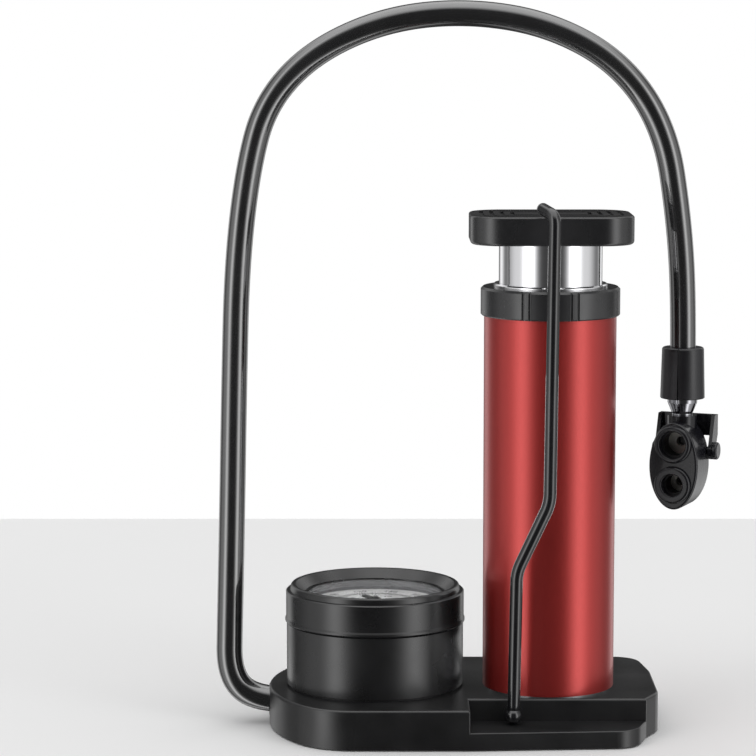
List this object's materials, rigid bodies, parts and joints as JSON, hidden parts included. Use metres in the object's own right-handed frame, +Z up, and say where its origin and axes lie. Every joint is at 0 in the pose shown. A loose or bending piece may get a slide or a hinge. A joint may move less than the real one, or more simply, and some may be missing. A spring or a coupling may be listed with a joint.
{
  "type": "floor bike pump",
  "caption": "Compact foot-pressed floor pump with an upright barrel, a dial gauge on a black base, a folding wire latch and a hose with a twin valve head.",
  "frame": {"origin": "on the ground, at the middle of the base's length and width", "axes": "+Z up along the barrel; +X from the gauge to the barrel; -Y towards the side with the wire latch"},
  "size_m": [0.1667, 0.08, 0.2343],
  "materials": {
    "base_plastic": "fine moulded satin black",
    "case_plastic": "smooth satin black",
    "red_anodised": "satin red anodised",
    "chrome": "polished",
    "nipple_metal": "dark polished",
    "wire_enamel": "glossy black enamel",
    "hose_rubber": "smooth glossy black",
    "head_plastic": "glossy black",
    "seal_rubber": "matte black",
    "pin_black": "black",
    "glass": "clear",
    "dial_white": "printed white",
    "needle_black": "black",
    "brass": "machined",
    "steel": "zinc plated",
    "inner_aluminium": "turned",
    "nylon": "natural nylon"
  },
  "bodies": {
    "base": {"base_housing": "base_plastic", "bottom_cover": "base_plastic", "cover_screws": "steel", "rubber_feet": "seal_rubber", "barrel": "red_anodised", "barrel_foot": "inner_aluminium", "standpipe": "inner_aluminium", "piston_head": "inner_aluminium", "cup_seal": "seal_rubber", "valve_retainer": "brass", "valve_spring": "steel", "guide_bush": "nylon", "collar": "case_plastic", "wiper_seal": "seal_rubber", "guide_ring": "chrome", "return_spring": "steel", "latch_bush": "nylon", "gauge_body": "case_plastic", "gauge_gasket": "seal_rubber", "gauge_bezel": "case_plastic", "lens_ring": "chrome", "gauge_lens": "glass", "dial_plate": "dial_white", "movement_plates": "brass", "gauge_stem": "brass", "bourdon_tube": "brass", "bourdon_link": "brass", "air_manifold": "nylon", "feed_pipe": "brass", "hose_barb": "brass", "hose_gland": "hose_rubber", "hose": "hose_rubber", "hose_sleeve": "hose_rubber", "hose_nipple": "nipple_metal", "head_body": "head_plastic", "large_port_cap": "head_plastic", "small_port_cap": "head_plastic", "large_grommet": "seal_rubber", "small_grommet": "seal_rubber", "lever_pin": "pin_black"},
    "plunger": {"plunger_tube": "chrome", "tube_guide": "nylon", "top_plug": "nylon", "pedal_screw": "steel", "pedal": "case_plastic"},
    "latch": {"latch_wire": "wire_enamel", "latch_clip": "steel"},
    "sector": {"sector_gear": "brass"},
    "needle": {"needle": "needle_black", "needle_shaft": "brass"},
    "valve": {"outlet_valve": "brass"},
    "lever": {"clamp_lever": "head_plastic"},
    "clamps": {"clamp_pistons": "nylon"}
  },
  "joints": [
    {"name": "plunger_slide", "type": "slide", "parent": "base", "child": "plunger", "axis": [0, 0, 1], "range_m": [-0.013, 0.07], "deforming": ["return_spring"]},
    {"name": "latch_swing", "type": "hinge", "parent": "base", "child": "latch", "pos_m": [0.0155, -0.028, 0.0087], "axis": [0, 1, 0], "range_deg": [0, 87.5]},
    {"name": "sector_turn", "type": "hinge", "parent": "base", "child": "sector", "pos_m": [-0.0285, 0.0167, 0.0316], "axis": [0, 0, 1], "range_deg": [0, 27.3]},
    {"name": "needle_turn", "type": "hinge", "parent": "base", "child": "needle", "pos_m": [-0.0285, 0, 0.04], "axis": [0, 0, -1], "range_deg": [0, 256]},
    {"name": "valve_lift", "type": "slide", "parent": "base", "child": "valve", "axis": [0, 0, -1], "range_m": [0, 0.0015], "stiffness_N_per_m": 150, "springref_m": -0.001, "deforming": ["valve_spring"]},
    {"name": "lever_flip", "type": "hinge", "parent": "base", "child": "lever", "pos_m": [0.07467, 0.02822, 0.086], "axis": [-0.9205, 0.3907, 0], "range_deg": [0, 90]},
    {"name": "clamp_slide", "type": "slide", "parent": "base", "child": "clamps", "axis": [-0.3907, -0.9205, 0], "range_m": [0, 0.00121]}
  ],
  "couplings": [
    {"joint": "needle_turn", "follows": "sector_turn", "ratio": 9.375},
    {"joint": "lever_flip", "follows": "clamp_slide", "rad_per_m": 1298.2}
  ]
}
